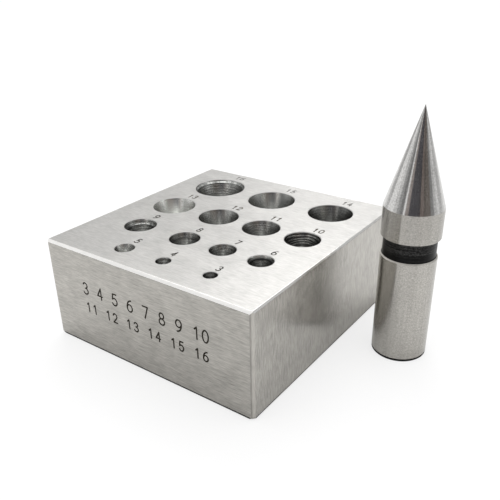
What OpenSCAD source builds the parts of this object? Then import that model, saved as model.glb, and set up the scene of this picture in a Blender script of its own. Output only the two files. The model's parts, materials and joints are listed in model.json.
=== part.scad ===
// Bezel block: a steel block with fourteen tapered seats, and the punch that goes with it.
// The origin is the centre of the block's bottom face. X runs along the front face,
// Y runs from the front face to the back, and Z is up. Sizes are in millimetres.

/* [Block] */
// Width of the block along its front face
block_w = 70; // [66:1:90]
// Depth of the block from front to back
block_d = 74; // [72:1:90]
// Height of the block
block_h = 30.5; // [28:0.5:40]
// Bevel along the edges of the top face
top_bevel = 0.7; // [0.3:0.1:1.2]
// Bevel down the four upright corners
corner_bevel = 0.4; // [0.2:0.1:1.5]
// Bevel along the edges of the bottom face
bottom_bevel = 0.4; // [0.2:0.1:1.5]

/* [Seats] */
// Slope of the seats and of the punch's cone, measured from upright
bezel_angle = 17; // [15:0.5:20]
// Bevel round the rim of every seat
rim_bevel = 0.15; // [0.1:0.05:0.3]
// Diameter of the knock-out hole under the seat with the largest mark
drill_max_d = 5.4; // [5:0.1:6]
// How much smaller the knock-out hole is from one mark to the next
drill_step_d = 0.3; // [0.2:0.05:0.35]

/* [Back row of seats, marked 16, 15 and 14] */
// Places across the block, from left to right
back_x = [-20, 0.7, 21.3]; // [-22:0.1:22]
// Places back from the middle of the block
back_y = [22.5, 22.2, 22.9]; // [20:0.1:25]
// Rim diameters
back_rim_d = [16.3, 14.7, 13.4]; // [13:0.1:17]
// Depths of the ledges in the walls
back_ledge_z = [0.5, 0, 0]; // [0:0.1:2]
// Widths of the ledges, 0 where a seat has none
back_ledge_w = [0.5, 0, 0]; // [0:0.05:0.5]

/* [Third row of seats, marked 13, 12, 11 and 10] */
// Places across the block, from left to right
third_x = [-22, -4.9, 10.3, 24.1]; // [-25:0.1:25]
// Places back from the middle of the block
third_y = [1.9, 2.3, 2.4, 2.2]; // [1:0.1:4]
// Rim diameters
third_rim_d = [13.1, 12, 11, 10.1]; // [9:0.1:14]
// Depths of the ledges in the walls
third_ledge_z = [0, 0, 0, 0]; // [0:0.1:2]
// Widths of the ledges, 0 where a seat has none
third_ledge_w = [0, 0, 0, 0]; // [0:0.05:0.5]

/* [Second row of seats, marked 9, 8, 7 and 6] */
// Places across the block, from left to right
second_x = [-20, -3.2, 10, 22.1]; // [-24:0.1:24]
// Places back from the middle of the block
second_y = [-15.1, -15.1, -15.1, -14.9]; // [-17:0.1:-13]
// Rim diameters
second_rim_d = [9.5, 8.7, 7.5, 7]; // [6:0.1:10]
// Depths of the ledges in the walls
second_ledge_z = [1.3, 1.5, 0, 0.8]; // [0:0.1:2]
// Widths of the ledges, 0 where a seat has none
second_ledge_w = [0.25, 0.15, 0, 0.2]; // [0:0.05:0.5]

/* [Front row of seats, marked 5, 4 and 3] */
// Places across the block, from left to right
front_x = [-12.6, 1.3, 16.2]; // [-25:0.1:25]
// Places back from the middle of the block
front_y = [-28.7, -28.7, -28.1]; // [-31:0.1:-27]
// Rim diameters
front_rim_d = [5.6, 4.2, 3.8]; // [3:0.1:6]
// Depths of the ledges in the walls
front_ledge_z = [0, 0, 0]; // [0:0.1:2]
// Widths of the ledges, 0 where a seat has none
front_ledge_w = [0, 0, 0]; // [0:0.05:0.5]

/* [Punch] */
// Diameter of the shank
shank_d = 14.8; // [12:0.1:16]
// Length of the shank, from the foot to the groove
shank_l = 29.7; // [20:0.1:45]
// Depth of the groove below the shank
groove_t = 0.45; // [0.35:0.05:1]
// Length of the groove
groove_l = 5.2; // [3:0.1:8]
// Bevel between the groove and the shank
groove_bevel = 0.3; // [0.1:0.05:0.3]
// How far the collar stands out past the shank
collar_step = 0.35; // [0.1:0.05:1]
// Length of the collar
collar_l = 8; // [4:0.5:12]
// Bevel round the collar's lower edge
collar_bevel = 0.15; // [0.05:0.05:0.3]
// Bevel round the foot
foot_bevel = 0.2; // [0.1:0.1:1.5]
// Diameter of the flat at the tip
tip_d = 0.1; // [0.1:0.1:1.5]
// Gap between the block and the shank where the punch stands
stand_gap = 8.1; // [2:0.1:30]
// Place of the punch, back from the middle of the block
stand_y = 12.1; // [-30:0.1:30]

/* [Hidden] */
$fn = 96;
slope = tan(bezel_angle);
// Seats of one row, each as [across, back, rim diameter, depth of its ledge, width of its ledge]
function row(xs, ys, rims, ledge_zs, ledge_ws) =
    [for (i = [0:len(xs) - 1]) [xs[i], ys[i], rims[i], ledge_zs[i], ledge_ws[i]]];
// Seats in falling order of their marks
seats = concat(
    row(back_x, back_y, back_rim_d, back_ledge_z, back_ledge_w),
    row(third_x, third_y, third_rim_d, third_ledge_z, third_ledge_w),
    row(second_x, second_y, second_rim_d, second_ledge_z, second_ledge_w),
    row(front_x, front_y, front_rim_d, front_ledge_z, front_ledge_w)
);
// How far a cut runs past the face that it opens
past = 1;
// Half the length of a bar that is longer than the block either way
bar_half = block_w + block_d + block_h;

// Radii and heights of the punch, and where its axis stands
shank_r = shank_d / 2;
collar_r = shank_r + collar_step;
groove_r = shank_r - groove_t;
tip_r = tip_d / 2;
collar_z = shank_l + groove_l;
cone_z = collar_z + collar_l;
tip_z = cone_z + (collar_r - tip_r) / slope;
stand_x = block_w / 2 + stand_gap + shank_r;

// Rectangle with its lower corner at [0, 0]; the two upper corners and the two lower ones are bevelled
module bevelled_rect(w, h, upper, lower) {
    polygon([
        [lower, 0], [w - lower, 0], [w, lower], [w, h - upper],
        [w - upper, h], [upper, h], [0, h - upper], [0, lower]
    ]);
}

// The block before its seats are cut: the common part of three bars
module blank() {
    intersection() {
        // Plan, seen from above
        translate([-block_w / 2, -block_d / 2, 0])
            linear_extrude(block_h)
                bevelled_rect(block_w, block_d, corner_bevel, corner_bevel);
        // Section seen from the front
        translate([-block_w / 2, bar_half, 0])
            rotate([90, 0, 0])
                linear_extrude(2 * bar_half)
                    bevelled_rect(block_w, block_h, top_bevel, bottom_bevel);
        // Section seen from the side
        translate([-bar_half, -block_d / 2, 0])
            rotate([90, 0, 90])
                linear_extrude(2 * bar_half)
                    bevelled_rect(block_d, block_h, top_bevel, bottom_bevel);
    }
}

// Space of one seat, measured down from the top face: rim bevel, cone, ledge if it has one, knock-out hole
module seat_space(rim_d, ledge_z, ledge_w, drill_d) {
    rim_r = rim_d / 2;
    drill_r = drill_d / 2;
    bevel_r = rim_r - rim_bevel * slope;
    ledge_r = rim_r - ledge_z * slope;
    seat_z = ledge_z + ledge_w + (ledge_r - ledge_w - drill_r) / slope;
    rim = [[0, past], [bevel_r + rim_bevel + past, past], [bevel_r, -rim_bevel]];
    ledge = ledge_w > 0 ? [[ledge_r, -ledge_z], [ledge_r - ledge_w, -ledge_z - ledge_w]] : [];
    drill = [[drill_r, -seat_z], [drill_r, -block_h - past], [0, -block_h - past]];
    rotate_extrude()
        polygon(concat(rim, ledge, drill));
}

module bezel_block() {
    color("silver")
        difference() {
            blank();
            for (i = [0:len(seats) - 1])
                translate([seats[i][0], seats[i][1], block_h])
                    seat_space(seats[i][2], seats[i][3], seats[i][4], drill_max_d - i * drill_step_d);
        }
}

// The punch is one turned bar, drawn as half of its long section
module punch() {
    color("darkgray")
        translate([stand_x, stand_y, 0])
            rotate_extrude()
                polygon([
                    [0, 0],
                    [shank_r - foot_bevel, 0],
                    [shank_r, foot_bevel],
                    [shank_r, shank_l - groove_bevel],
                    [shank_r - groove_bevel, shank_l],
                    [groove_r, shank_l],
                    [groove_r, collar_z],
                    [collar_r - collar_bevel, collar_z],
                    [collar_r, collar_z + collar_bevel],
                    [collar_r, cone_z],
                    [tip_r, tip_z],
                    [0, tip_z]
                ]);
}

bezel_block();
punch();
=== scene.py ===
# %% [markdown]
# A bezel block is a jeweller's tool. A ring of metal, the bezel that will hold a stone, is laid in
# the seat of its size and pressed down with a punch of the same slope, so that it comes out as a
# neat cone. This notebook dresses the two pieces, the block and its punch. Their places and sizes
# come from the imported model, which is loaded first and never moved, so nothing is fitted by eye.

# %% Load the frame
import json
import math
import random
from collections import namedtuple
from itertools import product

import bmesh
import bpy
from mathutils import Matrix, Vector

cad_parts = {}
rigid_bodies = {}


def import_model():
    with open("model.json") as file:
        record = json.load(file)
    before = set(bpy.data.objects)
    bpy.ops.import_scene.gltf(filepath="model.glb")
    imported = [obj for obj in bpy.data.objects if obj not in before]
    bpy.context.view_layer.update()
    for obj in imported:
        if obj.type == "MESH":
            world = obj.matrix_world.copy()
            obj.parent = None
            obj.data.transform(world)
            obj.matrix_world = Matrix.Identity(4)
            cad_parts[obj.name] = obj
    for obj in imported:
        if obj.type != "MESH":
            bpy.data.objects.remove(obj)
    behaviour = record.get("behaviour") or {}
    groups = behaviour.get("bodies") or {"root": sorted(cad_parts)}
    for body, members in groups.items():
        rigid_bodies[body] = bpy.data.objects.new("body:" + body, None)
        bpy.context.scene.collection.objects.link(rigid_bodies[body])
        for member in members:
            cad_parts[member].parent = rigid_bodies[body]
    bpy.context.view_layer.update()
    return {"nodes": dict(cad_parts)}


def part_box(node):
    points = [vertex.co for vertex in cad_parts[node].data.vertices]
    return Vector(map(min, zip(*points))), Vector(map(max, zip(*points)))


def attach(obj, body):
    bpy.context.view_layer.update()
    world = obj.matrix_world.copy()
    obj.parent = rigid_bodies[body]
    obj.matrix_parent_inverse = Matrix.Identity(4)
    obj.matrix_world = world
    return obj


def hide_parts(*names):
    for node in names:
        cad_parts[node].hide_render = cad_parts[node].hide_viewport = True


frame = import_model()
MM = 0.001
block_low, block_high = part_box("bezel_block")
punch_low, punch_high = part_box("punch")
for name in sorted(frame["nodes"]):
    low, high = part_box(name)
    print(name, "measures", [round(side / MM, 2) for side in high - low], "mm")

# %% [markdown]
# Every finish below is a small sum: steel colour, plus fine lines, minus a little dirt. Blender
# writes such a sum as a web of Math nodes, which is hard to read. A short class lets Python's own
# operators add those nodes, and one method adds any other node. Geometry trees are wired alike, so
# the same two classes serve them.


# %% A socket that can be added and multiplied
class Wire:
    """An output socket of a node. Sums on it add Math nodes to the same tree."""

    def __init__(self, board, socket):
        self.board = board
        self.socket = socket

    def math(self, operation, *values):
        return self.board.add("ShaderNodeMath", {"operation": operation}, dict(enumerate(values)))

    def out(self, name):
        """Another output of the same node."""
        return Wire(self.board, self.socket.node.outputs[name])

    def axis(self, name):
        """The X, Y or Z of a vector."""
        return self.board.add("ShaderNodeSeparateXYZ", None, {0: self}, output=name)

    def __add__(self, other):
        return self.math("ADD", self, other)

    def __radd__(self, other):
        return self.math("ADD", other, self)

    def __sub__(self, other):
        return self.math("SUBTRACT", self, other)

    def __rsub__(self, other):
        return self.math("SUBTRACT", other, self)

    def __mul__(self, other):
        return self.math("MULTIPLY", self, other)

    def __rmul__(self, other):
        return self.math("MULTIPLY", other, self)

    def __truediv__(self, other):
        return self.math("DIVIDE", self, other)

    def between(self, low, high):
        """0 below low and 1 above high, with a soft step from one to the other."""
        soft = {"interpolation_type": "SMOOTHSTEP"}
        limits = {"Value": self, "From Min": low, "From Max": high}
        return self.board.add("ShaderNodeMapRange", soft, limits)


print("wires can be added and multiplied")

# %% [markdown]
# Every other node comes from one method. It takes the node's type, its settings and its inputs, so
# that a recipe reads from top to bottom. Noise and bump have methods of their own, because nearly
# every finish here draws its lines with stretched noise.


# %% A board to put nodes on
class Board:
    """A node tree, with one way to add any node: its type, its settings, its inputs."""

    def __init__(self, tree):
        self.tree = tree

    def add(self, kind, settings=None, inputs=None, output=0):
        node = self.tree.nodes.new(kind)
        for name, value in (settings or {}).items():
            setattr(node, name, value)
        for name, value in (inputs or {}).items():
            self.plug(value, node.inputs[name])
        return Wire(self, node.outputs[output]) if node.outputs else None

    def plug(self, value, socket):
        if isinstance(value, Wire):
            self.tree.links.new(value.socket, socket)
        else:
            socket.default_value = value

    def place(self):
        """The point on the piece, in metres."""
        return self.add("ShaderNodeTexCoord", output="Object")

    def mix(self, share, first, second):
        """A colour that goes from first to second as share goes from 0 to 1."""
        settings = {"data_type": "RGBA"}
        return self.add("ShaderNodeMix", settings, {0: share, 6: first, 7: second}, output=2)

    def grain(self, place, sizes, start=0.0, detail=2.0):
        """Noise from 0 to 1 whose blobs have about these sizes along X, Y and Z, in millimetres."""
        scale = tuple(1 / (size * MM) for size in sizes)
        moves = {"Vector": place, "Scale": scale, "Location": (start,) * 3}
        moved = self.add("ShaderNodeMapping", None, moves)
        noise = {"Vector": moved, "Scale": 1.0, "Detail": detail}
        return self.add("ShaderNodeTexNoise", None, noise)

    def bump(self, height, strength, rise):
        """The surface's normal where it stands out by a rise, in millimetres, times the height."""
        inputs = {"Height": height, "Strength": strength, "Distance": rise * MM}
        return self.add("ShaderNodeBump", None, inputs)


def grey(level, warmth=0.0):
    """A near-neutral colour, a little yellower where warmth is above 0."""
    return (level * (1 + warmth), level, level * (1 - 2 * warmth), 1.0)


BLACK = grey(0.0)
WHITE = grey(1.0)
print("shader maths is ready")

# %% [markdown]
# The camera stands close to the block, low, and a little to its right. Its place was worked out
# from the block's corners and the rims of its seats, which have known sizes. The view is written
# as an azimuth and elevation round the block, a distance, a shift of the aim, and a small roll,
# because the picture isn't quite level.

# %% Camera
# Angles in degrees
VIEW_AZIMUTH = 36.193
VIEW_ELEVATION = 27.150
VIEW_ROLL = -1.048
VIEW_DISTANCE = 193.41 * MM
AIM_RIGHT = 4.83 * MM
AIM_UP = 14.28 * MM
PICTURE_PX = 500
FOCAL_PX = 618.921
# Where the lens's axis meets the picture, from its left and top
CENTRE_PX = (244.953, 266.462)
SENSOR = 36.0
CLIP_START = 10 * MM


def look_from(azimuth, elevation):
    """Directions right, up and back of a viewer at that azimuth and elevation, in degrees."""
    a = math.radians(azimuth)
    e = math.radians(elevation)
    back = Vector((math.sin(a) * math.cos(e), -math.cos(a) * math.cos(e), math.sin(e)))
    right = Vector((0, 0, 1)).cross(back).normalized()
    return right, back.cross(right), back


def facing(axes, place):
    """Matrix of an object at a place, whose own X, Y and Z run along the three axes."""
    return Matrix.Translation(place) @ Matrix(axes).transposed().to_4x4()


def add_object(name, data):
    """A new object of the scene, at the origin."""
    obj = bpy.data.objects.new(name, data)
    bpy.context.scene.collection.objects.link(obj)
    return obj


def make_camera():
    right, up, back = look_from(VIEW_AZIMUTH, VIEW_ELEVATION)
    turn = Matrix.Rotation(math.radians(VIEW_ROLL), 3, back)
    right, up = turn @ right, turn @ up
    place = back * VIEW_DISTANCE + right * AIM_RIGHT + up * AIM_UP
    camera = add_object("camera", bpy.data.cameras.new("camera"))
    camera.matrix_world = facing((right, up, back), place)
    camera.data.sensor_width = SENSOR
    camera.data.lens = SENSOR * FOCAL_PX / PICTURE_PX
    middle_px = (PICTURE_PX - 1) / 2
    camera.data.shift_x = (middle_px - CENTRE_PX[0]) / PICTURE_PX
    camera.data.shift_y = (CENTRE_PX[1] - middle_px) / PICTURE_PX
    camera.data.clip_start = CLIP_START
    bpy.context.scene.camera = camera
    return camera


camera = make_camera()
print("camera at", [round(value / MM, 1) for value in camera.matrix_world.translation], "mm")

# %% [markdown]
# Steel shows its surroundings, so the studio matters as much as the finish. The pair stands under
# a white sky, which gives more light from overhead than from the sides. Through Light Path, it
# still comes out plain white for the camera and in reflections.

# %% White sky
SKY_LIGHT = 1.75
# Upward share of a direction at which the sky starts to give light, and at which it gives all
SKY_FROM = 0.1
SKY_FULL = 0.9


def seen_share(board, camera, mirror):
    """How much of its own glow a surface adds: for camera rays, and for reflections and glass."""
    path = board.add("ShaderNodeLightPath", output="Is Camera Ray")
    mirrored = path.out("Is Glossy Ray") + path.out("Is Transmission Ray")
    return path.math("MINIMUM", path * camera + mirrored * mirror, 1.0)


def make_world():
    world = bpy.data.worlds.new("white_studio")
    bpy.context.scene.world = world
    world.use_nodes = True
    world.node_tree.nodes.clear()
    board = Board(world.node_tree)
    strength = SKY_LIGHT * board.add("ShaderNodeTexCoord").axis("Z").between(SKY_FROM, SKY_FULL)
    lit = board.add("ShaderNodeBackground", None, {"Color": WHITE, "Strength": strength})
    seen = board.add("ShaderNodeBackground", None, {"Color": WHITE, "Strength": 1.0})
    share = seen_share(board, 1.0, 1.0)
    sky = board.add("ShaderNodeMixShader", None, {0: share, 1: lit, 2: seen})
    board.add("ShaderNodeOutputWorld", None, {"Surface": sky})


make_world()
print("the sky is white")

# %% [markdown]
# The floor is a wide disc of pale paper. It glows in the same way, but keeps part of its real
# shading, so that the pieces stand in their own soft shadows, and steel that mirrors a shadow is
# darker there. Its paper is a little darker in reflections than it is for the camera, so that
# upright faces stay grey on white.

# %% Pale floor
CAMERA_GLOW = 0.70
MIRROR_GLOW = 0.10
PAPER = 0.70
PAPER_SEEN = 0.86
FLOOR_RADIUS = 3.0
FLOOR_SIDES = 96
FLOOR_DROP = 0.02 * MM


def new_finish(name):
    """A material with no nodes yet, and the board to put them on."""
    material = bpy.data.materials.new(name)
    material.use_nodes = True
    material.node_tree.nodes.clear()
    return material, Board(material.node_tree)


def close_mesh(bm, name):
    """Turns a mesh in the making into a finished one."""
    mesh = bpy.data.meshes.new(name)
    bm.to_mesh(mesh)
    bm.free()
    return mesh


def make_floor():
    bm = bmesh.new()
    bmesh.ops.create_circle(bm, cap_ends=True, segments=FLOOR_SIDES, radius=FLOOR_RADIUS)
    bm.transform(Matrix.Translation((0, 0, block_low.z - FLOOR_DROP)))
    mesh = close_mesh(bm, "studio_floor")
    material, board = new_finish("studio_floor")
    seen = board.add("ShaderNodeLightPath", output="Is Camera Ray")
    colour = board.mix(seen, grey(PAPER), grey(PAPER_SEEN))
    paper = board.add("ShaderNodeBsdfDiffuse", None, {"Color": colour})
    glow = board.add("ShaderNodeEmission", None, {"Color": WHITE, "Strength": 1.0})
    share = seen_share(board, CAMERA_GLOW, MIRROR_GLOW)
    surface = board.add("ShaderNodeMixShader", None, {0: share, 1: paper, 2: glow})
    board.add("ShaderNodeOutputMaterial", None, {"Surface": surface})
    mesh.materials.append(material)
    floor = add_object("studio_floor", mesh)


make_floor()
print("the floor is", 2 * FLOOR_RADIUS, "m across")

# %% [markdown]
# A flat ground face has no form of its own: it shows a slope from grey to white only if a lamp
# stands near the direction that it mirrors. One wide lamp behind the block, a little over 45
# degrees up, does that for the top face, and its light is soft enough to leave no hard shadow.


# %% Lamp behind the block
def make_lamp(name, azimuth, elevation, distance, width, height, radiance):
    """An oblong lamp that faces the block, as bright in a mirror as its radiance."""
    right, up, back = look_from(azimuth, elevation)
    data = bpy.data.lights.new(name, "AREA")
    data.shape = "RECTANGLE"
    data.size = width
    data.size_y = height
    data.energy = math.pi * width * height * radiance
    lamp = add_object(name, data)
    lamp.matrix_world = facing((right, up, back), back * distance)


make_lamp(
    "back_lamp", azimuth=215, elevation=46, distance=0.9, width=0.6, height=0.45, radiance=2.7
)
print("the lamp is up")

# %% [markdown]
# A white room alone would leave the cone without form. Cloths from white to black, hung round the
# pair, draw the long streaks on it. They are made as a standing curved screen, cut into upright
# strips, that only reflections can see.

# %% Cloths round the pair
SCREEN_RADIUS = 0.5
SCREEN_TOP = 0.40
SCREEN_STEPS = 8
# Each as name, first and last azimuth from the punch, colour, and height of its foot if not 0
SCREEN_STRIPS = [
    ("left_cloth", -140, -112, grey(0.68)),
    ("smoke_cloth", -112, -88, grey(0.56)),
    ("white_cloth", -88, -66, WHITE),
    ("pale_cloth", -58, -43, grey(0.74)),
    ("grey_cloth", -43, -30, grey(0.42)),
    ("dark_cloth", -30, -17, grey(0.24)),
    ("warm_cloth", -10, 3, (0.35, 0.31, 0.295, 1)),
    ("coal_cloth", 3, 33, (0.080, 0.076, 0.085, 1)),
    ("black_cloth", 33, 44, (0.064, 0.060, 0.066, 1)),
    ("tan_cloth", 44, 57, (0.20, 0.165, 0.15, 1)),
    ("umber_cloth", 57, 65, (0.11, 0.095, 0.085, 1)),
    ("brown_cloth", 65, 84, (0.17, 0.15, 0.135, 1)),
    ("side_cloth", 84, 98, grey(0.28)),
    ("far_cloth", 98, 112, grey(0.62)),
    ("glint_cloth", 112, 125, grey(0.82)),
    ("back_cloth", 125, 150, grey(0.58)),
    ("last_cloth", 150, 180, grey(0.64)),
    ("high_cloth", 151, 176, grey(0.22), 0.21),
]


def make_screen_strip(name, first, last, colour, foot=0.0):
    """An upright strip round the punch's axis, seen by reflections only."""
    bm = bmesh.new()
    axis = (punch_low + punch_high) / 2
    pairs = []
    for i in range(SCREEN_STEPS + 1):
        a = math.radians(first + (last - first) * i / SCREEN_STEPS)
        x = axis.x + SCREEN_RADIUS * math.sin(a)
        y = axis.y - SCREEN_RADIUS * math.cos(a)
        pairs.append([bm.verts.new((x, y, z)) for z in (foot, SCREEN_TOP)])
    for left, right in zip(pairs, pairs[1:]):
        bm.faces.new((left[0], right[0], right[1], left[1]))
    mesh = close_mesh(bm, name)
    material, board = new_finish(name)
    cloth = board.add("ShaderNodeEmission", None, {"Color": colour, "Strength": 1.0})
    board.add("ShaderNodeOutputMaterial", None, {"Surface": cloth})
    mesh.materials.append(material)
    strip = add_object(name, mesh)
    for ray in ("camera", "diffuse", "shadow", "transmission"):
        setattr(strip, "visible_" + ray, False)


for strip in SCREEN_STRIPS:
    make_screen_strip(*strip)
print(len(SCREEN_STRIPS), "strips of cloth")

# %% [markdown]
# The block was ground flat on a surface grinder. The wheel leaves lines that run one way across
# each face, and they smear every reflection across their own direction. Noise that is stretched
# along the lines could do it all, but the finest of them are thinner than a pixel. So the colour
# carries the lines that the eye can follow, bump carries the hairlines, and on the upright faces
# the shader's own anisotropy does the smearing. Painted shade darkens the upright faces towards
# the front right corner and towards the foot, a painted dark reflection runs in a line down the
# upright corners, and the bevels at the foot are painted almost black as a contact shadow.

# %% Finish of the ground faces
STEEL = 0.46
WARMTH = 0.035
# Noises of the grinding lines, each as length and width in millimetres, and start
HAIRLINES = (4, 0.12, 0.0)
FIBRES = (2.2, 0.15, 2.3)
STREAKS = (7, 0.4, 3.7)
# Where painted shade towards the front right corner starts and where it is strongest, as X minus
# Y, and the height below which painted shade darkens the foot
BACK_LEFT = block_low.x - block_high.y
FRONT_RIGHT = block_high.x - block_low.y
FOOT_SHADE_HEIGHT = 14 * MM
# A painted dark reflection lies on the upright corners, in a line beside the front and back faces
LINE_SHADE_FROM = block_high.y - 0.35 * MM
LINE_SHADE_FULL = block_high.y - 0.20 * MM
# A quarter turn of the shader's smear, for lines that run level
ACROSS = {"Anisotropic Rotation": 0.25}


def steel(board, colour, roughness, normal=None, **fixed):
    """A metal shader joined to the material's output. Fixed numbers go on its own sockets."""
    inputs = {"Base Color": colour, "Roughness": roughness, "Metallic": 1.0}
    inputs.update(fixed)
    if normal:
        inputs["Normal"] = normal
    shader = board.add("ShaderNodeBsdfPrincipled", None, inputs)
    board.add("ShaderNodeOutputMaterial", None, {"Surface": shader})


def ground_finish(
    name, along, level, roughness, contrast, corner_shade=0.0, line_shade=0.0, warmth=WARMTH, **fixed
):
    """Ground steel whose lines run along X, Y or Z, with painted shade towards a corner, the foot
    and a line.
    """
    material, board = new_finish(name)
    place = board.place()

    def lines(length, width, start):
        sizes = [length if axis == along else width for axis in "XYZ"]
        return board.grain(place, sizes, start) - 0.5

    streaks = lines(*STREAKS)
    cloud = board.grain(place, (5, 5, 5), 9.1, detail=4.0) - 0.5
    pattern = 0.75 * lines(*FIBRES) + 0.18 * streaks + 0.28 * cloud
    x, y, z = (place.axis(axis) for axis in "XYZ")
    # Painted shade: darker towards the front right corner and towards the foot
    corner = (x - y).between(BACK_LEFT, FRONT_RIGHT)
    foot = 1 - z.between(0, FOOT_SHADE_HEIGHT)
    # Painted dark reflection, in a line on the upright corners beside the front and back faces
    line = y.math("ABSOLUTE", y).between(LINE_SHADE_FROM, LINE_SHADE_FULL)
    painted_shade = corner_shade * (corner + 0.5 * foot) + line_shade * line
    colour = board.mix(level * (1 + contrast * pattern - painted_shade), BLACK, grey(1.0, warmth))
    normal = board.bump(lines(*HAIRLINES) + 0.2 * streaks, strength=0.5, rise=0.02)
    steel(board, colour, roughness + 0.06 * cloud, normal, **fixed)
    return material


# Each as name, run of its lines, brightness, roughness, contrast, and painted shade towards the
# corner and in a line
FINISHES = {
    "top": ground_finish("ground_top", "X", STEEL, 0.38, 1.0, warmth=0.016),
    "front": ground_finish(
        "ground_front", "X", STEEL * 1.04, 0.34, 1.3, 0.08, Anisotropic=0.6, **ACROSS
    ),
    "side": ground_finish("ground_side", "Z", STEEL * 1.17, 0.25, 1.4, 0.10, Anisotropic=0.8),
    "bevel": ground_finish("ground_bevel", "X", STEEL * 2.0, 0.3, 0.3, warmth=0.012),
    "edge": ground_finish("ground_edge", "Y", STEEL * 1.75, 0.17, 0.4, warmth=0.012),
    "rim": ground_finish("dressed_rim", "X", STEEL * 1.1, 0.35, 0.3, warmth=0.012),
    # The upright corners carry the painted dark reflection line
    "corner": ground_finish("ground_corner", "Z", STEEL * 1.05, 0.3, 0.8, line_shade=0.35),
    # The bevels at the foot are painted almost black: a painted contact shadow
    "foot": ground_finish("shadowed_foot_bevel", "X", STEEL * 0.06, 0.5, 0.6),
}
print("ground finishes:", sorted(FINISHES))

# %% [markdown]
# Each seat was reamed, and no two came out alike: some walls are bright with long streaks, which
# also paint reflections, others dark with rings where the reamer chattered. One finish serves them
# all. It reads two values that are written on the mesh for every point, how bright the wall is
# there and how strong its rings are. The sizes beside the seats are burnt in by a laser, which
# leaves them dull and brown. Those at the back are painted paler and greyer, a painted glare.

# %% Finish of the seats and of the cut numbers
RING_PITCH = 0.75
# How far the rings stray from level, in radians of their own wave
RING_WANDER = 12.0
SEAT_TINT = (0.99, 1.0, 0.965, 1.0)
# Brightness of a burnt number at the middle of the block, and the painted glare it gains at the
# back
INK = 0.016
INK_GLARE = 0.21


def seat_finish():
    """Reamed steel, with rings round the axis. Its brightness, painted light included, is written
    on the mesh.
    """
    material, board = new_finish("reamed_seat")
    place = board.place()

    def written_on_mesh(name):
        return board.add("ShaderNodeAttribute", {"attribute_name": name}, output="Fac")

    wander = board.grain(place, (6, 6, 1.5), 4.4)
    wave = place.axis("Z") * (2 * math.pi / (RING_PITCH * MM)) + RING_WANDER * wander
    rings = wave.math("SINE", wave).between(-0.2, 0.9) - 0.4
    speck = board.grain(place, (0.25, 0.25, 0.25), 7.7) - 0.5
    shade = written_on_mesh("shine") * (1 + written_on_mesh("rings") * rings + 0.2 * speck)
    colour = board.mix(shade, BLACK, SEAT_TINT)
    hairlines = board.grain(place, (400, 400, 0.1))
    steel(board, colour, 0.22, board.bump(hairlines, strength=1.0, rise=0.03))
    return material


def ink_finish():
    """The burnt bottom of a number cut by a laser: brown in front, pale and grey at the back from
    painted glare.
    """
    material, board = new_finish("burnt_number")
    place = board.place()
    speck = board.grain(place, (0.15, 0.15, 0.15)) - 0.5
    # Painted glare: the numbers grow paler and greyer towards the back of the block
    back = place.axis("Y").between(0, block_high.y)
    shade = (INK + INK_GLARE * back) * (1 + 0.6 * speck)
    tint = board.mix(back, grey(1.0, 0.26), grey(1.0, 0.02))
    fixed = {"Metallic": 0.3, "Specular IOR Level": 0.25}
    steel(board, board.mix(shade, BLACK, tint), 0.5, **fixed)
    return material


FINISHES["seat"] = seat_finish()
FINISHES["ink"] = ink_finish()
print("seat and number finishes are made")

# %% [markdown]
# Shapes that follow a rule are left to Geometry Nodes. Each tree takes bare lines and a few named
# inputs. The helpers here start a tree, close it, and put a mesh through it once, so that a plain
# mesh comes out.


# %% Helpers for Geometry Nodes
def new_tree(name, sockets):
    """A geometry tree with a geometry input and output, and more named inputs."""
    tree = bpy.data.node_groups.new(name, "GeometryNodeTree")
    shape = {"Geometry": "NodeSocketGeometry"}
    for label, kind in {**shape, **sockets}.items():
        tree.interface.new_socket(name=label, in_out="INPUT", socket_type=kind)
    for label, kind in shape.items():
        tree.interface.new_socket(name=label, in_out="OUTPUT", socket_type=kind)
    board = Board(tree)
    return tree, board, board.add("NodeGroupInput")


def close_tree(board, given, geometry):
    """Ends a tree: real geometry with its material on."""
    real = board.add("GeometryNodeRealizeInstances", None, {"Geometry": geometry})
    finish = given.out("Material")
    dressed = board.add("GeometryNodeSetMaterial", None, {"Geometry": real, "Material": finish})
    board.add("NodeGroupOutput", None, {"Geometry": dressed})


def plain_mesh(obj):
    """The object's mesh with its modifiers applied."""
    graph = bpy.context.evaluated_depsgraph_get()
    return bpy.data.meshes.new_from_object(obj.evaluated_get(graph), depsgraph=graph)


def run_tree(tree, mesh, **values):
    """Puts a mesh through a tree and returns the result as a plain mesh."""
    worker = add_object("worker", mesh)
    modifier = worker.modifiers.new("tree", "NODES")
    modifier.node_group = tree
    for socket in tree.interface.items_tree:
        if socket.in_out == "INPUT" and socket.name in values:
            modifier[socket.identifier] = values[socket.name]
    made = plain_mesh(worker)
    bpy.data.objects.remove(worker)
    return made


print("trees can be started, closed and run")

# %% [markdown]
# Both pieces hold turned forms: fourteen seats are bored on their own axes, and the whole punch
# comes off a lathe. A turned form is a half section swung round an axis, so one Geometry Nodes
# tree serves them all. It lays a grid whose rows are the points of the section and whose columns
# are the steps round the axis, moves each grid point to its place, and merges the seam and poles.

# %% A lathe in Geometry Nodes
# Points nearer than this count as one
TOUCH = 0.0001 * MM


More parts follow.
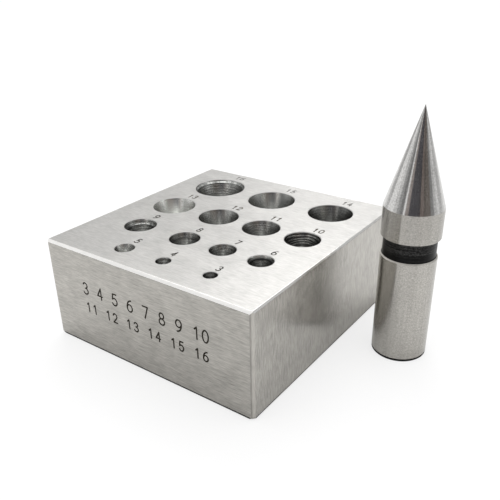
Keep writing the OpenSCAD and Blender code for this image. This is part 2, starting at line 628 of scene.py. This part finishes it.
def lathe_tree():
    kinds = {"Steps": "NodeSocketInt", "Axis": "NodeSocketVector", "Material": "NodeSocketMaterial"}
    tree, board, given = new_tree("lathe", kinds)
    section = given.out("Geometry")
    steps = given.out("Steps")
    columns = steps + 1
    size = {"Geometry": section}
    rows = board.add("GeometryNodeAttributeDomainSize", None, size, output="Point Count")
    grid = board.add("GeometryNodeMeshGrid", None, {"Vertices X": rows, "Vertices Y": columns})
    cell = {0: board.add("GeometryNodeInputIndex"), 1: columns}
    row = board.add("FunctionNodeIntegerMath", {"operation": "DIVIDE_FLOOR"}, cell)
    column = board.add("FunctionNodeIntegerMath", {"operation": "MODULO"}, cell)
    pick = {"data_type": "FLOAT_VECTOR", "domain": "POINT"}
    here = board.add("GeometryNodeInputPosition")
    sample = {"Geometry": section, "Value": here, "Index": row}
    point = board.add("GeometryNodeSampleIndex", pick, sample)
    radius = point.axis("X")
    angle = column * (2 * math.pi) / steps
    x = radius * angle.math("COSINE", angle)
    y = radius * angle.math("SINE", angle)
    spun = board.add("ShaderNodeCombineXYZ", None, {"X": x, "Y": y, "Z": point.axis("Z")})
    ends = {0: spun, 1: given.out("Axis")}
    moved = board.add("ShaderNodeVectorMath", {"operation": "ADD"}, ends)
    shape = board.add("GeometryNodeSetPosition", None, {"Geometry": grid, "Position": moved})
    near = {"Geometry": shape, "Distance": TOUCH}
    close_tree(board, given, board.add("GeometryNodeMergeByDistance", None, near))
    return tree


def polyline(lines):
    """A mesh of bare edges from lists of points. A line whose last point is its first is closed."""
    mesh = bpy.data.meshes.new("lines")
    points = []
    edges = []
    for line in lines:
        closed = len(line) > 2 and (Vector(line[0]) - Vector(line[-1])).length < TOUCH
        kept = line[:-1] if closed else line
        first = len(points)
        points.extend(kept)
        edges.extend((first + i, first + i + 1) for i in range(len(kept) - 1))
        if closed:
            edges.append((len(points) - 1, first))
    mesh.from_pydata(points, edges, [])
    return mesh


def turned(section, steps, axis, material):
    """A closed turned mesh from a half section, a list of radius and height in millimetres."""
    outline = polyline([[(radius * MM, 0, height * MM) for radius, height in section]])
    made = run_tree(LATHE, outline, Steps=steps, Axis=axis, Material=material)
    bm = bmesh.new()
    bm.from_mesh(made)
    bmesh.ops.recalc_face_normals(bm, faces=bm.faces)
    bm.to_mesh(made)
    bm.free()
    return made


LATHE = lathe_tree()
print("lathe tree has", len(LATHE.nodes), "nodes")

# %% [markdown]
# The seats are the heart of the block. From the top down each has a hair-fine bevel at its rim,
# a cone that leans in by 17 degrees, sometimes a narrow ledge where the roughing drill left its
# step, and a knock-out hole that goes right through. Their places and rims are listed row by row.
# The half section below is the air that a seat takes out.

# %% The seats' sections
Seat = namedtuple("Seat", "mark x y rim_d ledge_z ledge_w shift gap shine rings")
SLOPE = math.tan(math.radians(17))
RIM_BEVEL = 0.15
# Knock-out hole of the largest mark, and how much smaller each next one is
MARK_MAX = 16
DRILL_MAX_D = 5.4
DRILL_STEP_D = 0.3
PAST = 1.0
# Height of the line just below a ledge where the wall gets painted shade
SHADE_LINE = 0.3
SEAT_STEPS = 128
# Sizes in millimetres. Shift and gap place the number: how far it stands to the right of the
# seat's axis, and behind the rim. Shine is the wall's colour, rings their contrast.
SEATS = [
    Seat(16, -20, 22.5, 16.3, 0.5, 0.5, 0.4, 1.4, 0.50, 0.45),
    Seat(15, 0.7, 22.2, 14.7, 0, 0, 0.9, 1.4, 0.53, 0.05),
    Seat(14, 21.3, 22.9, 13.4, 0, 0, 0.8, 1.3, 0.32, 0.3),
    Seat(13, -22, 1.9, 13.1, 0, 0, 0, 1.1, 1.1, 0.04),
    Seat(12, -4.9, 2.3, 12, 0, 0, 0.6, 1.2, 0.53, 0.05),
    Seat(11, 10.3, 2.4, 11, 0, 0, 0, 1.0, 0.49, 0.35),
    Seat(10, 24.1, 2.2, 10.1, 0, 0, 0.9, 0.8, 0.40, 1.6),
    Seat(9, -20, -15.1, 9.5, 1.3, 0.25, -0.1, 1.0, 0.52, 0.6),
    Seat(8, -3.2, -15.1, 8.7, 1.5, 0.15, 0, 0.95, 0.54, 0.3),
    Seat(7, 10, -15.1, 7.5, 0, 0, 0.8, 0.75, 0.50, 0.5),
    Seat(6, 22.1, -14.9, 7, 0.8, 0.2, 0.5, 0.8, 0.38, 0.5),
    Seat(5, -12.6, -28.7, 5.6, 0, 0, 0, 0.95, 0.66, 0.2),
    Seat(4, 1.3, -28.7, 4.2, 0, 0, -0.2, 1.0, 0.46, 0.6),
    Seat(3, 16.2, -28.1, 3.8, 0, 0, -0.1, 0.6, 0.34, 0.6),
]


def seat_section(seat):
    """Half section of the air in one seat, measured down from the top face."""
    rim_r = seat.rim_d / 2
    drill_r = (DRILL_MAX_D - DRILL_STEP_D * (MARK_MAX - seat.mark)) / 2
    bevel_r = rim_r - RIM_BEVEL * SLOPE
    ledge_r = rim_r - seat.ledge_z * SLOPE
    inner_r = ledge_r - seat.ledge_w
    inner_z = seat.ledge_z + seat.ledge_w
    foot_z = inner_z + (inner_r - drill_r) / SLOPE
    through = (block_high.z - block_low.z) / MM + PAST
    rim = [(0, PAST), (bevel_r + RIM_BEVEL + PAST, PAST), (bevel_r, -RIM_BEVEL)]
    ledge = [(ledge_r, -seat.ledge_z), (inner_r, -inner_z)]
    ledge.append((inner_r - SHADE_LINE * SLOPE, -inner_z - SHADE_LINE))
    drill = [(drill_r, -foot_z), (drill_r, -through), (0, -through)]
    return rim + (ledge if seat.ledge_w else []) + drill


def seat_cutters():
    """All seats' air as one mesh."""
    bm = bmesh.new()
    for seat in SEATS:
        axis = (seat.x * MM, seat.y * MM, block_high.z)
        bm.from_mesh(turned(seat_section(seat), SEAT_STEPS, axis, FINISHES["seat"]))
    mesh = close_mesh(bm, "seat_cutters")
    mesh.materials.append(FINISHES["seat"])
    # A tree's mesh keeps an empty first slot, so its faces ask for the second one
    mesh.polygons.foreach_set("material_index", [0] * len(mesh.polygons))
    return mesh


seats_mesh = seat_cutters()
print(len(SEATS), "seats,", len(seats_mesh.polygons), "faces of air")

# %% [markdown]
# Each seat has its size beside it, cut with a laser: shallow, dark strokes with round ends. The
# digits are drawn as a sign painter would, with a few lines and arcs each, in a box one unit
# high.

# %% Digits as lines and arcs
DIGIT_WIDE = 0.52
ARC_STEP = 15


def arc(cx, cy, rx, ry, first, last):
    """Points of an arc from one angle to another, in degrees."""
    steps = max(4, round(abs(last - first) / ARC_STEP))
    angles = [math.radians(first + (last - first) * i / steps) for i in range(steps + 1)]
    return [(cx + rx * math.cos(a), cy + ry * math.sin(a)) for a in angles]


DIGITS = {
    "0": [arc(0.26, 0.5, 0.26, 0.5, 0, 360)],
    "1": [[(0.30, 0), (0.30, 1)], [(0.30, 1), (0.10, 0.80)]],
    "2": [
        arc(0.26, 0.72, 0.25, 0.28, 165, -38),
        [(0.457, 0.548), (0.02, 0)],
        [(0.02, 0), (0.52, 0)],
    ],
    "3": [arc(0.25, 0.76, 0.22, 0.24, 155, -90), arc(0.25, 0.26, 0.26, 0.26, 90, -155)],
    "4": [[(0.39, 0), (0.39, 1)], [(0.39, 1), (0, 0.30)], [(0, 0.30), (0.52, 0.30)]],
    "5": [
        [(0.48, 1), (0.12, 1)],
        [(0.12, 1), (0.06, 0.54)],
        arc(0.25, 0.32, 0.27, 0.32, 135, -150),
    ],
    "6": [arc(0.26, 0.31, 0.26, 0.31, 0, 360), arc(0.48, 0.36, 0.48, 0.64, 180, 95)],
    "7": [[(0.02, 1), (0.52, 1)], [(0.52, 1), (0.19, 0)]],
    "8": [arc(0.26, 0.76, 0.21, 0.24, 0, 360), arc(0.26, 0.26, 0.26, 0.26, 0, 360)],
    "9": [arc(0.26, 0.69, 0.26, 0.31, 0, 360), arc(0.04, 0.64, 0.48, 0.64, 0, -85)],
}


def written(words, height, stroke, pitch, middle, base):
    """Lines of a row of words, centred on middle and standing on base, in millimetres."""
    tall = height - stroke
    wide = (len(words) - 1) * pitch + DIGIT_WIDE * tall
    lines = []
    for i, character in enumerate(words):
        left = middle - wide / 2 + i * pitch
        foot = base + stroke / 2
        for line in DIGITS.get(character, []):
            lines.append([((left + x * tall) * MM, (foot + y * tall) * MM, 0) for x, y in line])
    return lines


print("digits drawn:", "".join(sorted(DIGITS)))

# %% [markdown]
# A line has no width, and a laser's line has. The tree below sweeps a small rectangle along every
# line and stands a round pad on both of its ends, so that strokes meet without notches. Width and
# depth are inputs, because the front rows are cut wider than the numbers on top.

# %% Strokes in Geometry Nodes
PAD_SIDES = 20
CUT_DEPTH = 0.12
CUT_LIFT = 0.1


def stroke_tree():
    number = "NodeSocketFloat"
    sockets = {"Width": number, "Depth": number, "Material": "NodeSocketMaterial"}
    tree, board, given = new_tree("strokes", sockets)
    width = given.out("Width")
    depth = given.out("Depth")
    line = board.add("GeometryNodeMeshToCurve", None, {"Mesh": given.out("Geometry")})
    flat = board.add("GeometryNodeSetCurveNormal", {"mode": "Z_UP"}, {"Curve": line})
    sides = {"Width": width, "Height": depth}
    section = board.add("GeometryNodeCurvePrimitiveQuadrilateral", None, sides)
    sweep = {"Curve": flat, "Profile Curve": section, "Fill Caps": True}
    bars = board.add("GeometryNodeCurveToMesh", None, sweep)
    disc = {"Vertices": PAD_SIDES, "Radius": width / 2, "Depth": depth}
    pad = board.add("GeometryNodeMeshCylinder", None, disc)
    ends = board.add("GeometryNodeCurveEndpointSelection")
    stand = {"Points": flat, "Selection": ends, "Instance": pad}
    pads = board.add("GeometryNodeInstanceOnPoints", None, stand)
    both = board.add("GeometryNodeJoinGeometry")
    for part in (pads, bars):
        tree.links.new(part.socket, both.socket.node.inputs[0])
    close_tree(board, given, both)
    return tree


def number_cutter(lines, stroke, turn):
    """Solid strokes along the lines, sunk to the cut's depth, and turned on to their face."""
    sizes = {"Width": stroke * MM, "Depth": (CUT_DEPTH + CUT_LIFT) * MM}
    made = run_tree(STROKES, polyline(lines), Material=FINISHES["ink"], **sizes)
    made.transform(turn @ Matrix.Translation((0, 0, (CUT_LIFT - CUT_DEPTH) / 2 * MM)))
    return made


STROKES = stroke_tree()
print("stroke tree has", len(STROKES.nodes), "nodes")

# %% [markdown]
# The numbers stand behind their seats and are read from the front. They were set by hand, so each
# sits a little to one side of its seat. The front face holds the sizes of all the seats once more,
# in two plain rows.

# %% Numbers on the block
NUMBER_HEIGHT = 2.65
NUMBER_STROKE = 0.38
NUMBER_PITCH = 1.9
FRONT_STROKE = 0.46
# Rows of the front face, each as words, height, pitch, middle and foot, in millimetres
FRONT_ROWS = [
    ("3 4 5 6 7 8 9 10", 3.9, 2.8, 0.2, 17.3),
    ("11 12 13 14 15 16", 3.2, 2.6, 0.2, 11.8),
]


def top_numbers():
    lines = []
    for seat in SEATS:
        middle = seat.x + seat.shift
        foot = seat.y + seat.rim_d / 2 + seat.gap
        words = str(seat.mark)
        lines += written(words, NUMBER_HEIGHT, NUMBER_STROKE, NUMBER_PITCH, middle, foot)
    return number_cutter(lines, NUMBER_STROKE, Matrix.Translation((0, 0, block_high.z)))


def front_numbers():
    lines = []
    for words, height, pitch, middle, foot in FRONT_ROWS:
        lines += written(words, height, FRONT_STROKE, pitch, middle, foot)
    upright = Matrix.Rotation(math.radians(90), 4, "X")
    return number_cutter(lines, FRONT_STROKE, Matrix.Translation((0, block_low.y, 0)) @ upright)


number_meshes = [top_numbers(), front_numbers()]
print("strokes:", [len(mesh.polygons) for mesh in number_meshes], "faces")

# %% [markdown]
# The body of the block is a box with its edges taken off. The bevels along the front and back of
# the top are wider than those at its sides, and the foot has only a steep narrow one. Cutting a
# box with planes gives the same corners as the grinder does, where a Bevel modifier would round
# them. The upright corners are also cut off at a slant where they meet the floor. A last bevel of
# 0.05 mm breaks each edge, so that it catches light as a real edge does.

# %% The block's body
TOP_BEVEL = 0.7 * MM
SIDE_BEVEL = 0.45 * MM
CORNER_BEVEL = 0.8 * MM
FOOT_OUT = 0.3 * MM
FOOT_UP = 0.8 * MM
CORNER_FOOT = 0.9 * MM
EDGE_BREAK = 0.05 * MM


def slice_off(bm, point, normal):
    """Takes away what lies beyond a plane, and closes the cut."""
    parts = list(bm.verts) + list(bm.edges) + list(bm.faces)
    plane = {"plane_co": point, "plane_no": normal}
    cut = bmesh.ops.bisect_plane(bm, geom=parts, clear_outer=True, **plane)
    rim = [item for item in cut["geom_cut"] if isinstance(item, bmesh.types.BMEdge)]
    bmesh.ops.contextual_create(bm, geom=rim)


def edge_cut(sx, sz):
    """How far in and how far up or down the cut along an edge goes."""
    if sz == 0:
        return CORNER_BEVEL, CORNER_BEVEL
    if sz < 0:
        return FOOT_OUT, FOOT_UP
    return (SIDE_BEVEL, SIDE_BEVEL) if sx else (TOP_BEVEL, TOP_BEVEL)


def block_body():
    bm = bmesh.new()
    size = block_high - block_low
    middle = (block_high + block_low) / 2
    stretch = Matrix.Translation(middle) @ Matrix.Diagonal((*size, 1))
    bmesh.ops.create_cube(bm, size=1.0, matrix=stretch)
    for sx, sy, sz in product((-1, 0, 1), repeat=3):
        if abs(sx) + abs(sy) + abs(sz) == 2:
            out, up = edge_cut(sx, sz)
            edge = middle + Vector((sx * size.x, sy * size.y, sz * size.z)) / 2
            normal = Vector((sx * up, sy * up, sz * out)) if sz else Vector((sx, sy, 0))
            slice_off(bm, edge - Vector((sx, sy if not sx else 0, 0)) * out, normal)
    for sx, sy in product((-1, 1), repeat=2):
        corner = middle + Vector((sx * size.x, sy * size.y, -size.z)) / 2
        inside = Vector((-sx * CORNER_BEVEL / 2, -sy * CORNER_BEVEL / 2, CORNER_FOOT))
        slice_off(bm, corner + inside, Vector((sx, sy, -1)))
    shape = {"offset": EDGE_BREAK, "segments": 2, "profile": 0.5, "affect": "EDGES"}
    bmesh.ops.bevel(bm, geom=list(bm.edges), **shape)
    bmesh.ops.recalc_face_normals(bm, faces=bm.faces)
    return close_mesh(bm, "bezel_block_finish")


block_mesh = block_body()
print("body:", len(block_mesh.polygons), "faces")

# %% [markdown]
# Each face gets the finish of its direction, because grinding lines turn with the face. Then
# Boolean modifiers take the seats and the numbers out. The faces that a cutter leaves keep its
# material, so walls and strokes come out dressed.

# %% Seats and numbers are cut
# Share of a face's direction that lies along one axis when it counts as square to it
FLAT = 0.99


def body_finish(face):
    """The finish of a face of the body, by its direction."""
    x, y, z = (abs(value) for value in face.normal)
    for name, share in (("top", z), ("front", y), ("side", x)):
        if share > FLAT:
            return name
    if face.normal.z < 0.3:
        return "corner" if min(x, y) > 0.3 or z < 0.2 else "foot"
    return "edge" if x > y else "bevel"


def dress(mesh, order, rule):
    """Gives every face the finish that the rule names for it."""
    mesh.materials.clear()
    for name in order:
        mesh.materials.append(FINISHES[name])
    for face in mesh.polygons:
        face.material_index = order.index(rule(face))


def cut_with(mesh, cutter, overlapping):
    """Takes the cutter's space out of the mesh. New faces keep the cutter's finish."""
    holder = add_object("holder", mesh)
    tool = add_object("tool", cutter)
    modifier = holder.modifiers.new("cut", "BOOLEAN")
    modifier.object = tool
    modifier.operation = "DIFFERENCE"
    modifier.solver = "EXACT"
    modifier.use_self = overlapping
    modifier.material_mode = "TRANSFER"
    made = plain_mesh(holder)
    for obj in (holder, tool):
        bpy.data.objects.remove(obj)
    return made


dress(block_mesh, ["top", "front", "side", "bevel", "edge", "corner", "foot"], body_finish)
block_mesh = cut_with(block_mesh, seats_mesh, False)
for number_mesh in number_meshes:
    block_mesh = cut_with(block_mesh, number_mesh, True)
print("block:", len(block_mesh.polygons), "faces,", len(block_mesh.materials), "finishes")

# %% [markdown]
# Each wall has a few long streaks, where the reamer rubbed or a burr ran down it, and they also
# paint the reflections that run down a wall. They are listed for every seat, and a little seeded
# chance roughens them. The ends of a wall get painted shade. A ledge has a painted highlight,
# bright in its middle and dull at its ends, the wall above it is painted brighter, and a line
# just below it gets painted shade.

# %% Streaks on the seats' walls
# Painted highlight of each ledge in its middle, half the turn in degrees over which it fades, how
# much brighter the wall is painted above it, and how bright the painted shade leaves the line below
# it
LEDGE_LIGHT_AND_SHADE = {
    16: (0.75, 75, 1.0, 0.5),
    9: (0.85, 42, 1.1, 0.35),
    8: (0.10, 60, 0.8, 0.5),
    6: (0.03, 60, 2.4, 0.12),
}
# Streaks, which also paint reflections, as degrees to the right of the wall's middle, half width in
# degrees, and gain
WALL_STREAKS_AND_REFLECTIONS = {
    16: [(15, 20, 0.5), (-35, 10, 0.2)],
    15: [(-18, 9, 0.4), (17, 6, 0.9), (0, 10, 0.3)],
    14: [(-17, 10, 0.6), (3, 6, 0.5), (11, 4, 0.7), (27, 4, 0.4)],
    13: [(-6, 8, 1.8), (16, 6, 1.3), (-28, 8, 0.4)],
    12: [(-18, 8, 0.4), (0, 6, 0.3), (32, 7, 0.7)],
    11: [(3, 7, 0.6), (-12, 5, 0.3)],
    10: [(2, 8, 0.5)],
    9: [(8, 12, 0.5)],
    8: [(4, 5, 1.0), (-18, 6, 0.5), (20, 5, 0.5)],
    7: [(0, 10, 0.3)],
    6: [(0, 10, 0.1)],
    5: [(-42, 13, 2.6), (0, 12, 0.3)],
    4: [(0, 10, 0.5)],
    3: [(0, 10, 0.3)],
}
CHANCE = 0.10
# Painted shade: how much darker a wall is at its ends, the turn at which that starts and over
# which it grows
END_SHADE = 0.65
END_FROM = 30
END_OVER = 45


def bell(turn, half):
    """1 in the middle of a streak, and near 0 beyond twice its half width."""
    return math.exp(-((turn / half) ** 2))


def wall_shine(seat, turn, dice):
    """How bright a wall is, painted reflections included, at a turn in degrees to the right of its
    middle.
    """
    streaks = sum(gain * bell(turn - at, half) for at, half, gain in WALL_STREAKS_AND_REFLECTIONS[seat.mark])
    ends = END_SHADE * min(1.0, max(0.0, abs(turn) - END_FROM) / END_OVER)
    return seat.shine * max(0.1, 1 + streaks - ends) * (1 + dice.uniform(-CHANCE, CHANCE))


def ledge_shine(seat, turn, dice):
    """How bright a ledge's painted highlight is. It breaks up more than the wall's brightness."""
    level, half = LEDGE_LIGHT_AND_SHADE[seat.mark][:2]
    return max(0.05, level * bell(turn, half) * (1 + dice.uniform(-6 * CHANCE, CHANCE)))


def wall_gain(seat, height):
    """How much brighter a wall is painted above its ledge, and how much painted shade darkens the
    line below it.
    """
    if not seat.ledge_w:
        return 1.0
    depth = (block_high.z - height) / MM
    if depth < seat.ledge_z:
        return LEDGE_LIGHT_AND_SHADE[seat.mark][2]
    return LEDGE_LIGHT_AND_SHADE[seat.mark][3] if depth < seat.ledge_z + seat.ledge_w + SHADE_LINE else 1.0


print(sum(len(streaks) for streaks in WALL_STREAKS_AND_REFLECTIONS.values()), "streaks are planned")

# %% [markdown]
# These values are now written on the mesh, for the seats' finish to read. They are kept per face
# corner, so a ledge can differ from its wall along the edge that they share. A rim's bevel was
# dressed after reaming, so it gets a smooth finish of its own.

# %% Dress the seats
# Azimuth in degrees of each wall's middle, the side that the camera sees
WALL_MIDDLE = 216
SEED = 7


def nearest_seat(spot):
    return min(SEATS, key=lambda seat: math.hypot(spot.x - seat.x * MM, spot.y - seat.y * MM))


def dress_seats(mesh):
    """Writes shine and rings on the corners of every wall and ledge, and dresses the rims."""
    wall = mesh.materials.find(FINISHES["seat"].name)
    mesh.materials.append(FINISHES["rim"])
    dressed = len(mesh.materials) - 1
    shine = mesh.attributes.new("shine", "FLOAT", "CORNER")
    rings = mesh.attributes.new("rings", "FLOAT", "CORNER")
    dice = random.Random(SEED)
    done = {}
    for face in mesh.polygons:
        if face.material_index != wall:
            continue
        seat = nearest_seat(face.center)
        level = face.normal.z > 0.5
        if level and face.center.z > block_high.z - 2 * RIM_BEVEL * MM:
            face.material_index = dressed
            continue
        gain = 1.0 if level else wall_gain(seat, face.center.z)
        for i in face.loop_indices:
            point = mesh.vertices[mesh.loops[i].vertex_index].co
            azimuth = math.degrees(math.atan2(point.x - seat.x * MM, seat.y * MM - point.y))
            turn = (WALL_MIDDLE - azimuth + 180) % 360 - 180
            key = (seat.mark, level, round(turn))
            if key not in done:
                done[key] = (ledge_shine if level else wall_shine)(seat, turn, dice)
            shine.data[i].value = done[key] * gain
            rings.data[i].value = 0.0 if level else seat.rings
    print("streaks on", len({key[0] for key in done}), "seats")


dress_seats(block_mesh)

# %% [markdown]
# A finished mesh becomes a piece here: smooth shading with sharp edges where faces meet at more
# than 12 degrees, and an object that stays at the origin, tied to the imported model. It rides on a
# body and takes the place of a plain node, which is hidden.

# %% Put the block in the scene
SHARP_ANGLE = math.radians(12)


def put(name, mesh, node, body):
    """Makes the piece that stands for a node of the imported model."""
    mesh.polygons.foreach_set("use_smooth", [True] * len(mesh.polygons))
    mesh.set_sharp_from_angle(angle=SHARP_ANGLE)
    piece = add_object(name, mesh)
    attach(piece, body)
    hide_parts(node)


put("bezel_block_finish", block_mesh, "bezel_block", "block")
print("block is in place")

# %% [markdown]
# The punch is one bar of tool steel, turned and then ground. Its cone has the slope of the seats
# and is polished; the collar and shank are ground to a satin; the groove between them was left
# dark from hardening, and so was a narrow band at the foot. The grinding lines run round the axis,
# so reflections stay sharp sideways and smear up and down, most of all on the collar. The shader's
# anisotropy does just that.

# %% Finish of the punch
# Heights between which the groove's black scale thins out
SCALE_LOW = 31.0 * MM
SCALE_HIGH = 32.4 * MM
PUNCH_X = (punch_low.x + punch_high.x) / 2
PUNCH_Y = (punch_low.y + punch_high.y) / 2
PUNCH_AXIS = Vector((PUNCH_X, PUNCH_Y, punch_low.z))


def from_axis(board):
    """The point on the punch, from the middle of its foot."""
    moves = {"Vector": board.place(), "Location": -PUNCH_AXIS}
    return board.add("ShaderNodeMapping", None, moves)


def turned_finish(name, level, roughness, mottle, relief, smear, warmth=WARMTH):
    """Ground steel whose lines run round the punch's axis, with faint scratches along it."""
    material, board = new_finish(name)
    place = from_axis(board)
    lines = board.grain(place, (6, 6, 0.25)) - 0.5
    specks = board.grain(place, (0.35, 0.35, 0.3), 3.1) - 0.5
    pulls = board.grain(place, (0.5, 0.5, 12), 6.7) - 0.5
    cloud = board.grain(place, (2.4, 2.4, 22), 5.3) - 0.5
    shade = level * (1 + 0.25 * (lines + pulls) + mottle * specks + 0.35 * cloud)
    colour = board.mix(shade, BLACK, grey(1.0, warmth))
    normal = board.bump(lines + specks, strength=relief, rise=0.01)
    steel(board, colour, roughness + 0.04 * cloud, normal, Anisotropic=smear, **ACROSS)
    return material


def groove_finish():
    """Scale from hardening, black, with bright tips on the turned lines."""
    material, board = new_finish("black_groove")
    place = from_axis(board)
    lines = board.grain(place, (10, 10, 0.25))
    flecks = board.grain(place, (0.45, 0.45, 0.25), 2.9)
    tips = (lines + flecks).between(0.8, 1.3)
    upper = place.axis("Z").between(SCALE_LOW, SCALE_HIGH)
    colour = board.mix(0.003 + (0.010 + 0.045 * upper) * tips, BLACK, grey(1.0, 0.01))
    steel(board, colour, 0.4, board.bump(lines, strength=0.6, rise=0.05), Metallic=0.8)
    return material


def scale_finish():
    """Plain black scale, on bevels that the grinder never touched."""
    material, board = new_finish("black_scale")
    speck = board.grain(board.place(), (0.5, 0.5, 0.5))
    colour = board.mix(0.006 + 0.02 * speck, BLACK, grey(1.0, 0.01))
    fixed = {"Metallic": 0.0, "Specular IOR Level": 0.1}
    steel(board, colour, 0.7, **fixed)
    return material


# Each as name, brightness, roughness, mottle, relief, smear and warmth
TURNED = {
    "cone": ("polished_cone", STEEL * 1.3, 0.16, 0.8, 0.15, 0.7, 0.010),
    "satin": ("satin_shank", STEEL * 0.97, 0.20, 1.0, 0.3, 0.9),
    "collar": ("satin_collar", STEEL * 0.97, 0.24, 1.0, 0.3, 1.0),
    # The shank's edges, a thin band above the black foot and the bevel under the groove, are a
    # little brighter: a painted highlight
    "shank_edge": ("highlight_shank_edge", STEEL * 1.05, 0.45, 0.5, 0.3, 0.7),
}
for part, values in TURNED.items():
    FINISHES[part] = turned_finish(*values)
FINISHES["groove"] = groove_finish()
FINISHES["scale"] = scale_finish()
print("punch finishes are made")

# %% [markdown]
# The punch's half section starts at the centre of the foot and climbs to the flat at the tip. Its
# place and height come from the imported model, and its radii and smaller steps are given below.
# The black band at the foot lies a hair below the shank.

# %% The punch's section
# Radii, heights and breaks in millimetres
SHANK_R = 7.4
COLLAR_R = 7.75
GROOVE_R = 6.95
TIP_R = 0.05
SHANK_L = 29.7
COLLAR_Z = 34.9
CONE_Z = 42.9
FOOT_BREAK = 0.2
FOOT_IN = 0.05
FOOT_BAND = 0.8
# Top of the slightly brighter band above the black foot, a painted highlight
FOOT_HIGHLIGHT = 1.0
GROOVE_BREAK = 0.3
COLLAR_BREAK = 0.15
PUNCH_STEPS = 192


def punch_section():
    tip_z = (punch_high.z - punch_low.z) / MM
    return [
        (0, 0),
        (SHANK_R - FOOT_IN - FOOT_BREAK, 0),
        (SHANK_R - FOOT_IN, FOOT_BREAK),
        (SHANK_R - FOOT_IN, FOOT_BAND),
        (SHANK_R, FOOT_BAND + FOOT_IN),
        (SHANK_R, FOOT_HIGHLIGHT),
        (SHANK_R, SHANK_L - GROOVE_BREAK),
        (SHANK_R - GROOVE_BREAK, SHANK_L),
        (GROOVE_R, SHANK_L),
        (GROOVE_R, COLLAR_Z),
        (COLLAR_R - COLLAR_BREAK, COLLAR_Z),
        (COLLAR_R, COLLAR_Z + COLLAR_BREAK),
        (COLLAR_R, CONE_Z),
        (TIP_R, tip_z),
        (0, tip_z),
    ]


punch_mesh = turned(punch_section(), PUNCH_STEPS, PUNCH_AXIS, FINISHES["satin"])
print("punch:", len(punch_mesh.polygons), "faces")

# %% [markdown]
# On a turned part, height alone tells which finish a face has. The flat steps at both ends of the
# groove are black too, so the limits pass them by a hundredth of a millimetre.

# %% Put the punch in the scene
HAIR = 0.01


def punch_finish(face):
    """The finish of a face of the punch, by its height."""
    height = (face.center.z - punch_low.z) / MM
    if height > CONE_Z:
        return "cone"
    if height > COLLAR_Z + HAIR:
        return "collar"
    if SHANK_L + HAIR < height < COLLAR_Z - HAIR:
        return "groove"
    if height < FOOT_BAND or height > SHANK_L - HAIR:
        return "scale"
    if height < FOOT_HIGHLIGHT or height > SHANK_L - GROOVE_BREAK:
        return "shank_edge"
    return "satin"


dress(punch_mesh, ["satin", "shank_edge", "groove", "collar", "cone", "scale"], punch_finish)
put("punch_finish", punch_mesh, "punch", "punch")
print("punch is in place, with", len(punch_mesh.materials), "finishes")

# %% [markdown]
# The picture uses Blender's Standard view transform.

# %% View settings
bpy.context.scene.view_settings.view_transform = "Standard"
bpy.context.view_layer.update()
